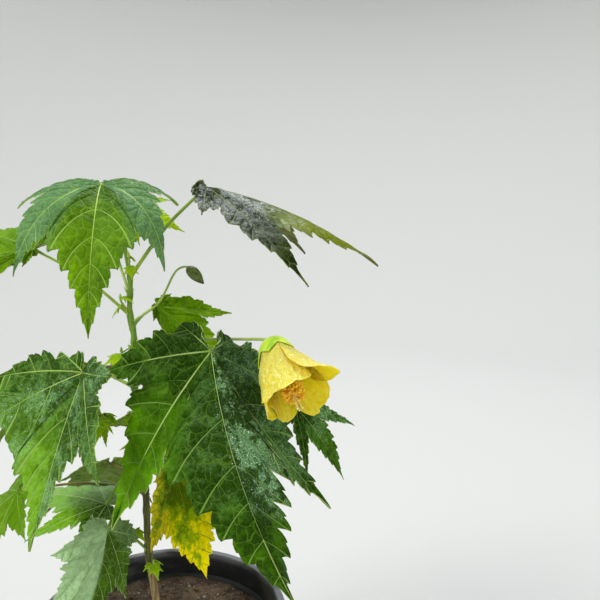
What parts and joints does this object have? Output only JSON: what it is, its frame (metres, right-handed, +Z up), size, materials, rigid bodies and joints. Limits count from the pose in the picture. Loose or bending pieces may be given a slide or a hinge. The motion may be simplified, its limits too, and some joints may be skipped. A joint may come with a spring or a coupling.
{
  "type": "flowering abutilon shrub in a nursery pot",
  "caption": "Young flowering shrub in a round nursery pot: one slender stem, long-stalked lobed drooping leaves, a nodding yellow bell flower and a bud.",
  "frame": {"origin": "centre of the pot's flat underside", "axes": "+Z up along the pot's axis, -Y towards the side with the large front leaf and the flower, +X to the right seen from there"},
  "size_m": [0.3073, 0.2228, 0.4583],
  "materials": {
    "pot_plastic": "black moulded polypropylene, lightly scuffed",
    "potting_mix": "dry crumbly potting mix",
    "stem_bark": "green young bark, brown and ridged towards the foot",
    "leaf_green": "glossy veined upper face, matt paler underside",
    "leaf_yellowing": "yellowing leaf, green along its veins",
    "petal_yellow": "thin ribbed petals, satin",
    "bud_green": "downy green calyx"
  },
  "bodies": {
    "root": {"nursery_pot": "pot_plastic", "potting_soil": "potting_mix", "main_stem": "stem_bark", "top_spray": "leaf_green", "upper_right_spray": "leaf_green", "back_top_spray": "leaf_green", "upper_left_spray": "leaf_green", "right_back_spray": "leaf_green", "back_right_spray": "leaf_green", "left_middle_spray": "leaf_green", "back_left_spray": "leaf_green", "front_spray": "leaf_green", "right_low_spray": "leaf_green", "small_leaf_spray": "leaf_green", "yellow_leaf_spray": "leaf_yellowing", "low_left_spray": "leaf_green", "back_middle_spray": "leaf_green", "back_low_left_spray": "leaf_green", "back_low_right_spray": "leaf_green", "low_bud_spray": "leaf_green", "foot_shoot": "leaf_green", "bell_flower": "petal_yellow", "flower_bud": "bud_green"}
  },
  "joints": []
}
